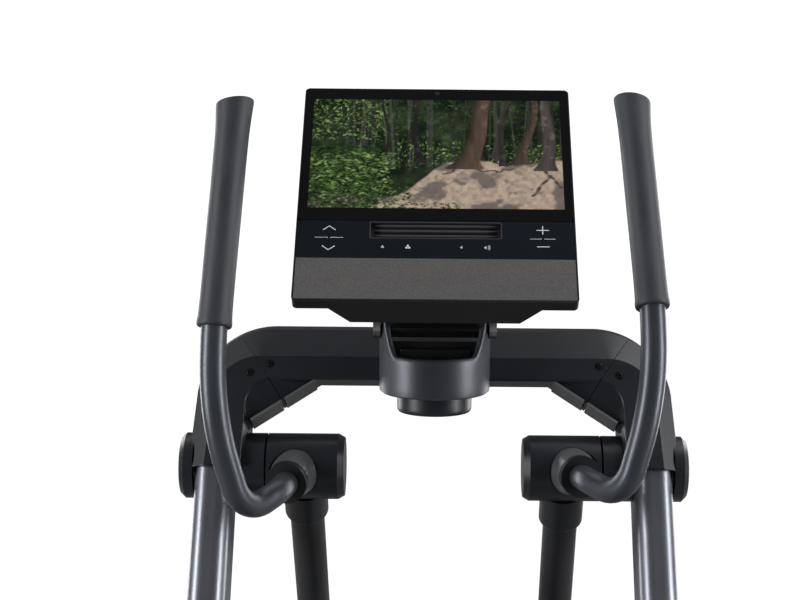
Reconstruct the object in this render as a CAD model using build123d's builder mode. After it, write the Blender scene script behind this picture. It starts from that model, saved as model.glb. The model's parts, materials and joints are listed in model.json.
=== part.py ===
"""Elliptical trainer with hanging legs, roller-carried pedal arms and a tilting console.

Frame: +Z up, the user stands at -Y and faces +Y, origin on the floor at the middle of the footprint.
Left is -X and right is +X, as the user sees them.  All lengths are in millimetres.
"""
import os
from math import atan2, cos, degrees, hypot, radians, sin

from build123d import *

# ---------------------------------------------------------------- driving dimensions
HUB_Y = 40.0                 # swing axis, front to back
HUB_Z = 1365.0               # swing axis, height
LEAN = 29.5                  # lean of uprights and arch from vertical
REST_SWING = 4.2             # each arm's swing from mid position in the stored pose
LEG_ANGLE = 30.75            # leg from vertical at mid swing
LEG_LENGTH = 965.0           # swing axis to foot-end pivot
LEG_X = 167.0                # leg centre from the machine's centre plane
BOSS_X = 171.0               # handle socket centre from the centre plane
HUB_R = 42.0                 # hub cover outer radius
SHAFT_R = 15.0
WALL = 3.0
GAP = 0.3

UPRIGHT_X = 278.5
UPRIGHT_W = 47.0
UPRIGHT_D = 86.0

ARCH_W = 308.0               # arch outer half width
ARCH_TOP = 176.0
ARCH_DEPTH = 50.0            # half depth of the sleeves, and the front face of the bridge
BRIDGE_BACK = 8.0            # rear face of the bridge, measured like ARCH_DEPTH
BRIDGE_UNDER = 107.0
SLEEVE_END = -14.0

STAB_W = 377.0               # rear stabilizer half width over its end caps
STAB_Z = 55.0
STAB_D = 100.0
STAB_H = 60.0
REAR_Y = -693.0
FRONT_Y = 622.0
WHEEL_X = 210.0
WHEEL_Y = 711.0
WHEEL_Z = 34.0
WHEEL_R = 32.0

CRANK_Y = -110.0
CRANK_Z = 300.0
FLY_Y = 190.0
FLY_Z = 290.0
TRACK_Z = 395.0              # height where the pedal arms cross above the crank
SHELL_X = 60.0
PULLEY_R = 140.0
FLY_PULLEY_R = 30.0

ARM_X = 120.0                # pedal arm centre from the centre plane
ARM_W = 40.0
ARM_H = 50.0
PEDAL_MID = 890.0            # along the arm from the foot-end pivot

CONSOLE_W = 167.0            # console half width
SCREEN_LEAN = 42.0           # console face from vertical
SCREEN_Y = -33.0             # screen centre from the swing axis
SCREEN_Z = 403.6
HINGE_Y = 5.0                # console hinge from the swing axis
HINGE_Z = 188.0

U = (0.0, sin(radians(LEAN)), cos(radians(LEAN)))
ARCH = Plane(
    origin=(0, HUB_Y, HUB_Z),
    x_dir=(1, 0, 0),
    z_dir=(0, -cos(radians(LEAN)), sin(radians(LEAN))),
)
PANEL = Plane(
    origin=(0, HUB_Y + SCREEN_Y, HUB_Z + SCREEN_Z),
    x_dir=(1, 0, 0),
    z_dir=(0, -cos(radians(SCREEN_LEAN)), sin(radians(SCREEN_LEAN))),
)
SIDES = (("left", -1, REST_SWING), ("right", 1, -REST_SWING))

os.makedirs("parts", exist_ok=True)


def save(part, name):
    """Label a finished piece and write its file."""
    part.label = name
    export_step(part, "parts/" + name + ".step")


def across(side, x_start, y=HUB_Y, z=HUB_Z):
    """Plane normal to X at a distance from the centre plane, facing outwards."""
    return Plane(origin=(side * x_start, y, z), x_dir=(0, 1, 0), z_dir=(side, 0, 0))


def disc(plane, radius, length):
    """Add a round bar to the current part."""
    with BuildSketch(plane) as circle:
        Circle(radius)
    extrude(circle.sketch, amount=length)


def drill(plane, radius, length):
    """Cut a round hole from the current part."""
    with BuildSketch(plane) as circle:
        Circle(radius)
    extrude(circle.sketch, amount=length, mode=Mode.SUBTRACT)


def swung(offset, swing):
    """Offset from the swing axis after the arm turns, as a point in the row frame."""
    x, y, z = offset
    turn = radians(swing)
    return (
        x,
        HUB_Y + y * cos(turn) - z * sin(turn),
        HUB_Z + y * sin(turn) + z * cos(turn),
    )


def direction(start, end):
    """Unit vector from one point to another."""
    return (Vector(*end) - Vector(*start)).normalized()


def leg_plane(side, swing, distance):
    """Plane across the leg at a distance from the swing axis, facing down the leg."""
    angle = radians(LEG_ANGLE + swing)
    way = (0, sin(angle), -cos(angle))
    start = (
        side * LEG_X,
        HUB_Y + distance * way[1],
        HUB_Z + distance * way[2],
    )
    return Plane(origin=start, x_dir=(1, 0, 0), z_dir=way)


def foot_pivot(swing):
    """Height and depth of the foot-end pivot for a swing angle."""
    angle = radians(LEG_ANGLE + swing)
    return HUB_Y + LEG_LENGTH * sin(angle), HUB_Z - LEG_LENGTH * cos(angle)


def arm_plane(swing, x=0.0):
    """Pedal arm frame: local Y runs rearwards along the arm and local -Z is up."""
    pivot_y, pivot_z = foot_pivot(swing)
    along_y = CRANK_Y - pivot_y
    along_z = TRACK_Z - pivot_z
    length = hypot(along_y, along_z)
    return Plane(
        origin=(x, pivot_y, pivot_z),
        x_dir=(1, 0, 0),
        z_dir=(0, -along_z / length, along_y / length),
    )


# ---------------------------------------------------------------- uprights and base
for name, side, swing in SIDES:
    root = Plane(
        origin=(side * UPRIGHT_X, HUB_Y - 1500 * U[1], HUB_Z - 1500 * U[2]),
        x_dir=(1, 0, 0),
        z_dir=U,
    )
    with BuildPart() as upright:
        with BuildSketch(root):
            RectangleRounded(UPRIGHT_W, UPRIGHT_D, 18)
        extrude(amount=1559)
        with BuildSketch(root):
            RectangleRounded(UPRIGHT_W - 6, UPRIGHT_D - 6, 15)
        extrude(amount=1560, mode=Mode.SUBTRACT)
        disc(across(side, UPRIGHT_X - 21), 24, 42)
        drill(across(side, UPRIGHT_X - 25), SHAFT_R + 0.05, 50)
        with Locations((side * UPRIGHT_X, REAR_Y, 0)):
            Box(200, 400, 2 * (STAB_Z + STAB_H / 2 + 0.1), mode=Mode.SUBTRACT)
    save(upright.part, "upright_" + name)


def stabilizer(y, half):
    """Rounded rectangular tube lying across the machine."""
    with BuildSketch(Plane(origin=(-half, y, STAB_Z), x_dir=(0, 1, 0), z_dir=(1, 0, 0))) as section:
        RectangleRounded(STAB_D, STAB_H, 14)
        RectangleRounded(STAB_D - 6, STAB_H - 6, 11, mode=Mode.SUBTRACT)
    extrude(section.sketch, amount=2 * half)


with BuildPart() as rear_stabilizer:
    stabilizer(REAR_Y, STAB_W - 25)
save(rear_stabilizer.part, "rear_stabilizer")

FRONT_W = 285.0
with BuildPart() as front_stabilizer:
    stabilizer(FRONT_Y, FRONT_W - 25)
    for side in (-1, 1):
        for x in (WHEEL_X - 17, WHEEL_X + 17):
            with BuildSketch(Plane(origin=(side * x - 2, 0, 0), x_dir=(0, 1, 0), z_dir=(1, 0, 0))):
                with BuildLine():
                    Polyline(
                        (FRONT_Y + STAB_D / 2 - 1, 34),
                        (WHEEL_Y + 8, 24),
                        (WHEEL_Y + 12, 38),
                        (WHEEL_Y, 48),
                        (FRONT_Y + STAB_D / 2 - 1, 76),
                        close=True,
                    )
                make_face()
            extrude(amount=4)
        disc(across(side, WHEEL_X - 17, WHEEL_Y, WHEEL_Z), 5, 34)
save(front_stabilizer.part, "front_stabilizer")

for name, side, swing in SIDES:
    with BuildPart() as wheel:
        disc(across(side, WHEEL_X - 13, WHEEL_Y, WHEEL_Z), WHEEL_R, 26)
        with BuildSketch(across(side, WHEEL_X - 13, WHEEL_Y, WHEEL_Z)):
            Circle(24)
            Circle(11, mode=Mode.SUBTRACT)
        extrude(amount=5, mode=Mode.SUBTRACT)
        with BuildSketch(across(side, WHEEL_X + 8, WHEEL_Y, WHEEL_Z)):
            Circle(24)
            Circle(11, mode=Mode.SUBTRACT)
        extrude(amount=5, mode=Mode.SUBTRACT)
        drill(across(side, WHEEL_X - 14, WHEEL_Y, WHEEL_Z), 5.05, 28)
    save(wheel.part, "wheel_" + name)

with BuildPart() as stabilizer_caps:
    for y, half in ((REAR_Y, STAB_W), (FRONT_Y, FRONT_W)):
        for side in (-1, 1):
            with BuildSketch(Plane(origin=(side * (half - 24.9), y, STAB_Z), x_dir=(0, 1, 0), z_dir=(side, 0, 0))):
                RectangleRounded(STAB_D + 4, STAB_H + 4, 16)
            extrude(amount=24.9, taper=12)
save(stabilizer_caps.part, "stabilizer_caps")

FEET = [(side * x, y) for y, x in ((REAR_Y, 320.0), (FRONT_Y, 235.0)) for side in (-1, 1)]
with BuildPart() as leveling_feet:
    for x, y in FEET:
        with Locations((x, y, 6)):
            Cylinder(26, 12)
        with Locations((x, y, 18.4)):
            Cylinder(9, 12.8)
save(leveling_feet.part, "leveling_feet")

BEAM_START = REAR_Y + STAB_D / 2 + 0.1
BEAM_END = FRONT_Y - STAB_D / 2 - 0.1
with BuildPart() as center_beam:
    with BuildSketch(Plane(origin=(0, BEAM_START, STAB_Z), x_dir=(1, 0, 0), z_dir=(0, 1, 0))):
        RectangleRounded(90, 50, 8)
        RectangleRounded(84, 44, 5, mode=Mode.SUBTRACT)
    extrude(amount=BEAM_END - BEAM_START)
    for y, top, bore, axis_z in (
        (CRANK_Y, CRANK_Z + 32, SHAFT_R + 0.05, CRANK_Z),
        (FLY_Y, FLY_Z + 24, 8.05, FLY_Z),
    ):
        for x in (-40.0, 40.0):
            with Locations((x, y, (79 + top) / 2)):
                Box(6, 56, top - 79)
            drill(Plane(origin=(x - 4, y, axis_z), x_dir=(0, 1, 0), z_dir=(1, 0, 0)), bore, 8)
save(center_beam.part, "center_beam")

# ---------------------------------------------------------------- arch over the swing axis


def arch_face(grow):
    """Arch outline in its own plane, moved outwards (+) or inwards (-) by grow."""
    half = ARCH_W + grow
    top = ARCH_TOP + grow
    inner = 240.0 - grow
    under = BRIDGE_UNDER - grow
    low = SLEEVE_END if grow == 0 else SLEEVE_END - 10
    radius = 100.0 + grow
    with BuildSketch() as outline:
        with BuildLine():
            Polyline((-half, top - radius), (-half, low), (-inner, low), (-inner, 44 - 0.7 * grow))
            Polyline((-inner, 44 - 0.7 * grow), (-148, under), (148, under), (inner, 44 - 0.7 * grow))
            Polyline((inner, 44 - 0.7 * grow), (inner, low), (half, low), (half, top - radius))
            RadiusArc((half, top - radius), (half - radius, top), -radius)
            Line((half - radius, top), (-half + radius, top))
            RadiusArc((-half + radius, top), (-half, top - radius), -radius)
        make_face()
    return outline.sketch_local


def arch_block(grow, mode):
    """Solid arch: slim over the bridge and full depth down both columns."""
    face = arch_face(grow)
    back = ARCH.offset(BRIDGE_BACK - grow)
    extrude(back * face, amount=ARCH_DEPTH - BRIDGE_BACK + 2 * grow, mode=mode)
    with BuildSketch() as columns:
        add(face)
        Rectangle(2 * (240 - grow), 600, mode=Mode.SUBTRACT)
    extrude(ARCH * columns.sketch_local, amount=ARCH_DEPTH + grow, both=True, mode=mode)


def arch_shell():
    """Hollow arch cover, open at both lower ends."""
    arch_block(0, Mode.ADD)
    arch_block(-WALL, Mode.SUBTRACT)


def seam_region(mode, gap):
    """Keep or cut the part of the arch between the two corner seams."""
    with BuildSketch(ARCH) as region:
        with BuildLine():
            Polyline(
                (-188 + gap, 64),
                (-275 + gap, 200),
                (275 - gap, 200),
                (188 - gap, 64),
                close=True,
            )
        make_face()
    extrude(region.sketch, amount=80, both=True, mode=mode)


SCREWS = [(-237.5, 109.4), (-212.0, 121.3), (212.0, 121.3), (237.5, 109.4)]


def screw_holes():
    """Holes for the cover screws through the front face."""
    for x, u in SCREWS:
        with BuildSketch(ARCH.offset(ARCH_DEPTH - 6)) as hole:
            with Locations((x, u)):
                Circle(4.7)
        extrude(hole.sketch, amount=10, mode=Mode.SUBTRACT)


for name, side, swing in SIDES:
    with BuildPart() as sleeve:
        arch_shell()
        seam_region(Mode.SUBTRACT, 0)
        screw_holes()
        with Locations((-side * 500, HUB_Y, HUB_Z)):
            Box(1000, 1000, 1000, mode=Mode.SUBTRACT)
        drill(across(side, 200), HUB_R + 0.5, 130)
    save(sleeve.part, "sleeve_" + name)

for name, sign in (("front", 1), ("rear", -1)):
    with BuildPart() as bridge_cover:
        arch_shell()
        seam_region(Mode.INTERSECT, 0.6)
        screw_holes()
        with BuildSketch(ARCH.offset((ARCH_DEPTH + BRIDGE_BACK) / 2 + 0.1 * sign)):
            Rectangle(900, 900)
        extrude(amount=-sign * 100, mode=Mode.SUBTRACT)
    save(bridge_cover.part, "bridge_cover_" + name)


def spine_face(grow, low):
    """Outline of the welded steel arch inside the covers."""
    outer = UPRIGHT_X + 18 + grow
    inner = UPRIGHT_X - 18 - grow
    top = 153 + grow
    under = 116 - grow
    with BuildSketch() as outline:
        with BuildLine():
            Polyline((-outer, low), (-outer, top - 78), (-outer + 78, top), (outer - 78, top), (outer, top - 78))
            Polyline((outer, top - 78), (outer, low), (inner, low), (inner, under - 44), (inner - 44, under))
            Polyline((inner - 44, under), (-inner + 44, under), (-inner, under - 44), (-inner, low), (-outer, low))
        make_face()
    return outline.sketch_local


with BuildPart() as bridge_frame:
    extrude(ARCH.offset(12) * spine_face(0, 59.3), amount=34)
    extrude(ARCH.offset(12 + WALL) * spine_face(-WALL, 50), amount=34 - 2 * WALL, mode=Mode.SUBTRACT)
save(bridge_frame.part, "bridge_frame")

with BuildPart() as cover_screws:
    for x, u in SCREWS:
        with BuildSketch(ARCH.offset(ARCH_DEPTH - 4)):
            with Locations((x, u)):
                Circle(4.5)
        extrude(amount=3)
        with BuildSketch(ARCH.offset(ARCH_DEPTH - 2.2)):
            with Locations((x, u)):
                RegularPolygon(1.6, 6)
        extrude(amount=2, mode=Mode.SUBTRACT)
save(cover_screws.part, "cover_screws")

with BuildPart() as under_pads:
    slope = degrees(atan2(BRIDGE_UNDER - 44, 92))
    for side in (-1, 1):
        for x in (172.0, 214.0):
            u = 44 + (240 - x) * (BRIDGE_UNDER - 44) / 92
            with BuildSketch(ARCH.offset(12)):
                with Locations(Location((side * x, u - 2.4, 0), (0, 0, -side * slope))):
                    Rectangle(46, 3)
            extrude(amount=36)
        drill(across(side, 200), HUB_R + 0.5, 130)
save(under_pads.part, "under_pads")

# ---------------------------------------------------------------- swing arms
LOOP = ((226, -166, -12), (258, -188, 120))
LOOP_RADII = (60, 45, 250, 250)
GRIP_LOW = (257.2, -159, 214)
GRIP_TOP = (243.0, -44.0, 466)

with BuildPart() as pivot_shafts:
    for side in (-1, 1):
        disc(across(side, 119), SHAFT_R, 199)
        disc(across(side, 117.5), 20, 2.2)
        disc(across(side, 304.4), 22, 8)
save(pivot_shafts.part, "pivot_shafts")

with BuildPart() as hub_bearings:
    for side in (-1, 1):
        for x in (122.0, 194.0):
            disc(across(side, x), 21, 14)
            with BuildSketch(across(side, x)):
                Circle(19)
                Circle(17.5, mode=Mode.SUBTRACT)
            extrude(amount=0.8, mode=Mode.SUBTRACT)
            drill(across(side, x - 1), SHAFT_R + 0.02, 16)
save(hub_bearings.part, "hub_bearings")

with BuildPart() as hub_collars:
    for side in (-1, 1):
        disc(across(side, 214.5), HUB_R, 40)
        drill(across(side, 218), HUB_R - WALL, 40)
        drill(across(side, 214), SHAFT_R + 0.3, 5)
save(hub_collars.part, "hub_collars")

with BuildPart() as pivot_caps:
    for side in (-1, 1):
        disc(across(side, 305), HUB_R, 12)
        with BuildSketch(across(side, 317)):
            Circle(HUB_R)
        extrude(amount=6, taper=45)
        drill(across(side, 304), HUB_R - WALL, 14)
save(pivot_caps.part, "pivot_caps")

for name, side, swing in SIDES:
    boss_start = swung((side * BOSS_X, 0, 0), swing)
    ring_centre = swung((side * 183, -74, 1), swing)
    socket_way = direction(boss_start, ring_centre)
    socket = Plane(origin=boss_start, x_dir=(0, 0, 1), z_dir=socket_way)
    grip_low = swung((side * GRIP_LOW[0], GRIP_LOW[1], GRIP_LOW[2]), swing)
    grip_top = swung((side * GRIP_TOP[0], GRIP_TOP[1], GRIP_TOP[2]), swing)
    grip_way = direction(grip_low, grip_top)
    grip_length = (Vector(*grip_top) - Vector(*grip_low)).length
    grip_plane = Plane(origin=grip_low, x_dir=(1, 0, 0), z_dir=grip_way)

    with BuildPart() as hub_core:
        disc(across(side, 120), 27, 90)
        disc(socket, 24, 66)
        with BuildSketch(socket.offset(30)):
            Circle(30.5)
        extrude(amount=36, taper=7.9)
        disc(leg_plane(side, swing, 0), 19, 100)
        drill(across(side, 119), 21.06, 92)
        drill(socket.offset(36), 15.7, 40)
    save(hub_core.part, "hub_core_" + name)

    for half, sign in (("front", -1), ("rear", 1)):
        with BuildPart() as hub_cover:
            with BuildSketch(across(side, 122)):
                Circle(HUB_R)
            extrude(amount=90)
            with BuildSketch(across(side, 122)):
                Circle(HUB_R)
            extrude(amount=-8, taper=30)
            drill(across(side, 117), HUB_R - WALL - 3, 6)
            drill(across(side, 122.5), HUB_R - WALL, 87)
            drill(across(side, 200), 28, 20)
            drill(socket, 31, 80)
            drill(leg_plane(side, swing, 0), 19.6, 80)
            cut = Plane(
                origin=(side * LEG_X, HUB_Y, HUB_Z),
                x_dir=(1, 0, 0),
                z_dir=leg_plane(side, swing, 0).y_dir,
            )
            with BuildSketch(cut.offset(0.1 * sign)):
                Rectangle(400, 400)
            extrude(amount=-200 * sign, mode=Mode.SUBTRACT)
        save(hub_cover.part, "hub_cover_" + half + "_" + name)

    with BuildPart() as handle_ring:
        disc(socket.offset(66.3), 26, 12)
        drill(socket.offset(60), 15.8, 30)
    save(handle_ring.part, "handle_ring_" + name)

    with BuildPart() as handle_tube:
        corners = [swung((side * x, y, z), swing) for x, y, z in LOOP]
        grip_stop = grip_plane.offset(grip_length - 16).origin
        with BuildLine(mode=Mode.PRIVATE) as path:
            FilletPolyline(
                [socket.offset(40).origin, socket.offset(112).origin] + corners + [grip_low, grip_stop],
                radius=LOOP_RADII,
            )
        for radius, mode in ((15.5, Mode.ADD), (13.0, Mode.SUBTRACT)):
            with BuildSketch(socket.offset(40), mode=Mode.PRIVATE) as section:
                Circle(radius)
            sweep(section.sketch, path=path.wire(), mode=mode)
    save(handle_tube.part, "handle_tube_" + name)

    with BuildPart() as grip:
        disc(grip_plane.offset(4), 19.5, grip_length + 8)
        with BuildSketch(grip_plane.offset(grip_length - 60)):
            Circle(19.5)
        with BuildSketch(grip_plane.offset(grip_length + 12)):
            with Locations((0, 0)):
                Ellipse(21.5, 23)
        loft()
        drill(grip_plane, 15.7, grip_length - 14)
        with BuildSketch(Plane(origin=grip_top, x_dir=(1, 0, 0), z_dir=(side * 0.12, 0.25, 1))):
            Rectangle(120, 120)
        extrude(amount=60, mode=Mode.SUBTRACT)
        fillet(grip.faces().filter_by(GeomType.PLANE).sort_by(Axis.Z)[-1].edges(), 3)
    save(grip.part, "grip_" + name)

    with BuildPart() as leg_collar:
        disc(leg_plane(side, swing, 36), 28.5, 50)
        drill(leg_plane(side, swing, 30), 22.7, 60)
        drill(across(side, 100), HUB_R + 0.2, 140)
        fillet(leg_collar.faces().sort_by(Axis.Z)[0].edges().sort_by(SortBy.RADIUS)[-1], 4)
    save(leg_collar.part, "leg_collar_" + name)

    pivot_y, pivot_z = foot_pivot(swing)
    with BuildPart() as leg_tube:
        with BuildSketch(leg_plane(side, swing, 44)):
            Circle(22.5)
            Circle(19.5, mode=Mode.SUBTRACT)
        extrude(amount=LEG_LENGTH - 44)
        disc(across(side, 144, pivot_y, pivot_z), 30, 46)
        disc(across(side, 94, pivot_y, pivot_z), 12, 60)
        disc(across(side, 94, pivot_y, pivot_z), 18, 5)
    save(leg_tube.part, "leg_tube_" + name)

    arm = arm_plane(swing)
    with BuildPart() as pedal_arm:
        with BuildSketch(Plane(origin=arm.origin, x_dir=(1, 0, 0), z_dir=arm.y_dir).offset(20)):
            with Locations((side * ARM_X, 0)):
                RectangleRounded(ARM_W, ARM_H, 9)
        extrude(amount=PEDAL_MID + 140)
        with BuildSketch(Plane(origin=arm.origin, x_dir=(1, 0, 0), z_dir=arm.y_dir).offset(36)):
            with Locations((side * ARM_X, 0)):
                RectangleRounded(ARM_W - 6, ARM_H - 6, 6)
        extrude(amount=PEDAL_MID + 121, mode=Mode.SUBTRACT)
        disc(across(side, 100, pivot_y, pivot_z), 31, 40)
        drill(across(side, 99, pivot_y, pivot_z), 12.05, 42)
    save(pedal_arm.part, "pedal_arm_" + name)

    tray = arm.offset(-ARM_H / 2 - 0.1)
    with BuildPart() as pedal:
        with BuildSketch(tray):
            with Locations((side * 173, PEDAL_MID)):
                RectangleRounded(138, 370, 40)
        extrude(amount=-34)
        with BuildSketch(tray.offset(-8)):
            with Locations((side * 173, PEDAL_MID)):
                RectangleRounded(126, 358, 34)
        extrude(amount=-30, mode=Mode.SUBTRACT)
        for x in (-30, 0, 30):
            with BuildSketch(tray):
                with Locations((side * (185 + x), PEDAL_MID)):
                    Rectangle(6, 300)
            extrude(amount=9)
    save(pedal.part, "pedal_" + name)

    with BuildPart() as pedal_pad:
        with BuildSketch(tray.offset(-8.1)):
            with Locations((side * 173, PEDAL_MID)):
                RectangleRounded(125, 357, 33.5)
        extrude(amount=-9)
        for i in range(9):
            with BuildSketch(tray.offset(-17.1)):
                with Locations((side * 173, PEDAL_MID - 136 + 34 * i)):
                    SlotOverall(92, 9)
            extrude(amount=-2)
    save(pedal_pad.part, "pedal_pad_" + name)

# ---------------------------------------------------------------- drive under the shroud


def shroud_face(grow):
    """Side outline of the centre shroud."""
    with BuildSketch(Plane(origin=(0, 0, 0), x_dir=(0, 1, 0), z_dir=(1, 0, 0))) as outline:
        with Locations((CRANK_Y, CRANK_Z)):
            Circle(172 + grow)
        with Locations((FLY_Y, FLY_Z)):
            Circle(188 + grow)
        with Locations((55, (82 + 100) / 2 + 3 * grow)):
            Rectangle(630 + 2 * grow, 18 - 6 * grow)
        make_hull()
    return outline.sketch


for name, side, swing in SIDES:
    with BuildPart() as shroud:
        extrude(shroud_face(0), amount=side * SHELL_X)
        extrude(shroud_face(-WALL), amount=side * (SHELL_X - WALL), mode=Mode.SUBTRACT)
        with Locations((side * 0.05, 0, 300)):
            Box(0.1, 1200, 800, mode=Mode.SUBTRACT)
        drill(across(side, 40, CRANK_Y, CRANK_Z), 20, 40)
    save(shroud.part, "shroud_" + name)

with BuildPart() as crank_axle:
    disc(Plane(origin=(-67, CRANK_Y, CRANK_Z), x_dir=(0, 1, 0), z_dir=(1, 0, 0)), SHAFT_R, 134)
    for side in (-1, 1):
        disc(across(side, 66, CRANK_Y, CRANK_Z), 112, 8)
        disc(across(side, 74, CRANK_Y, CRANK_Z + side * 78), 8, 24)
        disc(across(side, 73, CRANK_Y, CRANK_Z), 24, 14)
save(crank_axle.part, "crank_axle")

with BuildPart() as crank_rollers:
    for side in (-1, 1):
        disc(across(side, 75, CRANK_Y, CRANK_Z + side * 78), 26, 21)
        drill(across(side, 74, CRANK_Y, CRANK_Z + side * 78), 8.05, 24)
save(crank_rollers.part, "crank_rollers")

DRIVE_SIDE = Plane(origin=(-20, 0, 0), x_dir=(0, 1, 0), z_dir=(1, 0, 0))
with BuildPart() as drive_pulley:
    with BuildSketch(DRIVE_SIDE):
        with Locations((CRANK_Y, CRANK_Z)):
            Circle(PULLEY_R)
            Circle(SHAFT_R + 0.02, mode=Mode.SUBTRACT)
            with PolarLocations(84, 5):
                Circle(28, mode=Mode.SUBTRACT)
    extrude(amount=18)
save(drive_pulley.part, "drive_pulley")


def belt_outline(plane, grow):
    """Closed loop round both pulleys."""
    with BuildSketch(plane) as outline:
        with Locations((CRANK_Y, CRANK_Z)):
            Circle(PULLEY_R + grow)
        with Locations((FLY_Y, FLY_Z)):
            Circle(FLY_PULLEY_R + grow)
        make_hull()
    return outline.sketch


with BuildPart() as drive_belt:
    extrude(belt_outline(DRIVE_SIDE.offset(2), 2.8), amount=14)
    extrude(belt_outline(DRIVE_SIDE, 0.3), amount=20, mode=Mode.SUBTRACT)
save(drive_belt.part, "drive_belt")

with BuildPart() as flywheel:
    disc(Plane(origin=(-46, FLY_Y, FLY_Z), x_dir=(0, 1, 0), z_dir=(1, 0, 0)), 8, 92)
    disc(Plane(origin=(-20, FLY_Y, FLY_Z), x_dir=(0, 1, 0), z_dir=(1, 0, 0)), FLY_PULLEY_R, 18)
    disc(Plane(origin=(-3, FLY_Y, FLY_Z), x_dir=(0, 1, 0), z_dir=(1, 0, 0)), 22, 10)
    disc(Plane(origin=(6, FLY_Y, FLY_Z), x_dir=(0, 1, 0), z_dir=(1, 0, 0)), 148, 18)
save(flywheel.part, "flywheel")

with BuildPart() as brake_magnets:
    with Locations((15, 345, 290)):
        Box(40, 30, 60)
    with Locations((15, 335, 290)):
        Box(25, 26, 70, mode=Mode.SUBTRACT)
    with Locations((31.5, 318, 187.6)):
        Box(5, 60, 215)
save(brake_magnets.part, "brake_magnets")

with BuildPart() as power_inlet:
    with Locations((0, 450, 98.2)):
        Box(60, 46, 36)
    with Locations((0, 470, 98.2)):
        Box(28, 20, 20, mode=Mode.SUBTRACT)
    for x, z in ((-7, 95.2), (0, 101.2), (7, 95.2)):
        with Locations((x, 464, z)):
            Box(2, 14, 4)
save(power_inlet.part, "power_inlet")

# ---------------------------------------------------------------- console


def panel_block(x_half, low, high, back, front):
    """Block in the console's own frame, low to high up the face and back to front through it."""
    with BuildSketch(PANEL.offset(back)) as block:
        with Locations((0, (low + high) / 2)):
            Rectangle(2 * x_half, high - low)
    extrude(block.sketch, amount=front - back)


HUMP = ((-125.0, -15.9), (125.0, -15.9), (100.0, -44.0), (-100.0, -44.0))


def hump(inset, low, high):
    """Rear bulge of the housing: a trapezoid that narrows towards the back, drawn up the face."""
    points = [(x - inset if x > 0 else x + inset, n + inset) for x, n in HUMP[:2]]
    points += [(x - inset if x > 0 else x + inset, n + inset) for x, n in HUMP[2:]]
    foot = Plane(origin=PANEL.from_local_coords((0, low, 0)), x_dir=(1, 0, 0), z_dir=-PANEL.y_dir)
    with BuildSketch(foot) as section:
        with BuildLine():
            Polyline(*points, close=True)
        make_face()
    return extrude(section.sketch, amount=low - high, mode=Mode.PRIVATE)


with BuildPart() as console_housing:
    with BuildSketch(PANEL.offset(-16)):
        with Locations((0, (106 - 224) / 2)):
            RectangleRounded(2 * CONSOLE_W, 330, 6)
    extrude(amount=16)
    add(hump(0, -223.9, 72))
    with BuildSketch(PANEL.offset(-4.2)):
        with Locations((0, (104.5 - 221.5) / 2)):
            RectangleRounded(2 * (CONSOLE_W - 1.6), 326, 1)
    extrude(amount=10, mode=Mode.SUBTRACT)
    with BuildSketch(PANEL.offset(-13)):
        with Locations((0, (103 - 218) / 2)):
            RectangleRounded(2 * (CONSOLE_W - 6), 321, 4)
    extrude(amount=12, mode=Mode.SUBTRACT)
    add(hump(3, -220.9, 69), mode=Mode.SUBTRACT)
save(console_housing.part, "console_housing")

with BuildPart() as display_panel:
    with BuildSketch(PANEL.offset(-4)):
        with Locations((0, -0.8)):
            RectangleRounded(2 * (CONSOLE_W - 2), 209.6, 4)
    extrude(amount=4)
save(display_panel.part, "display_panel")

with BuildPart() as control_strip:
    panel_block(CONSOLE_W - 2, -161.8, -106.4, -4, 0)
    with BuildSketch(PANEL.offset(-2.5)):
        with Locations((0, -117)):
            SlotOverall(162, 18)
    extrude(amount=4, mode=Mode.SUBTRACT)
    for u in (-122.0, -117.0, -112.0):
        with BuildSketch(PANEL.offset(-5)):
            with Locations((0, u)):
                Rectangle(118, 2.4)
        extrude(amount=6, mode=Mode.SUBTRACT)
save(control_strip.part, "control_strip")

with BuildPart() as speaker_cloth:
    panel_block(CONSOLE_W - 2.2, -220.8, -162.2, -4, 0)
save(speaker_cloth.part, "speaker_cloth")

with BuildPart() as console_board:
    panel_block(96, -90, 60, -30, -28)
    panel_block(60, -40, 30, -28, -20)
save(console_board.part, "console_board")

with BuildPart() as speakers:
    for x in (-80, 80):
        with BuildSketch(PANEL.offset(-26)):
            with Locations((x, -191)):
                Circle(24)
        extrude(amount=21)
        with BuildSketch(PANEL.offset(-16)):
            with Locations((x, -191)):
                Circle(20)
        extrude(amount=14, mode=Mode.SUBTRACT)
        with BuildSketch(PANEL.offset(-18)):
            with Locations((x, -191)):
                Circle(7)
        extrude(amount=5)
save(speakers.part, "speakers")

NECK_Y = HUB_Y + 15
with BuildPart() as console_neck:
    with Locations((0, NECK_Y, HUB_Z + 122)):
        Cylinder(71, 52)
    with Locations((0, NECK_Y, HUB_Z + 85)):
        Cylinder(48, 28)
    with Locations((0, NECK_Y - 10, HUB_Z + 141)):
        Box(108, 74, 24, mode=Mode.SUBTRACT)
    for side in (-1, 1):
        with BuildSketch(Plane(origin=(side * 64.5 - 4.5, HUB_Y, HUB_Z), x_dir=(0, 1, 0), z_dir=(1, 0, 0))):
            with BuildLine():
                Polyline(
                    (-42, 128),
                    (-34, 150),
                    (-26, 182),
                    (-12, 208),
                    (20, 210),
                    (26, 190),
                    (28, 160),
                    (24, 128),
                    close=True,
                )
            make_face()
        extrude(amount=9)
    arch_block(GAP, Mode.SUBTRACT)
    with BuildSketch(ARCH.offset(BRIDGE_BACK)):
        with Locations((0, 100)):
            Rectangle(200, 260)
    extrude(amount=-100, mode=Mode.SUBTRACT)
    drill(across(1, -80, HUB_Y + HINGE_Y, HUB_Z + HINGE_Z), 8.05, 160)
save(console_neck.part, "console_neck")

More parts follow.
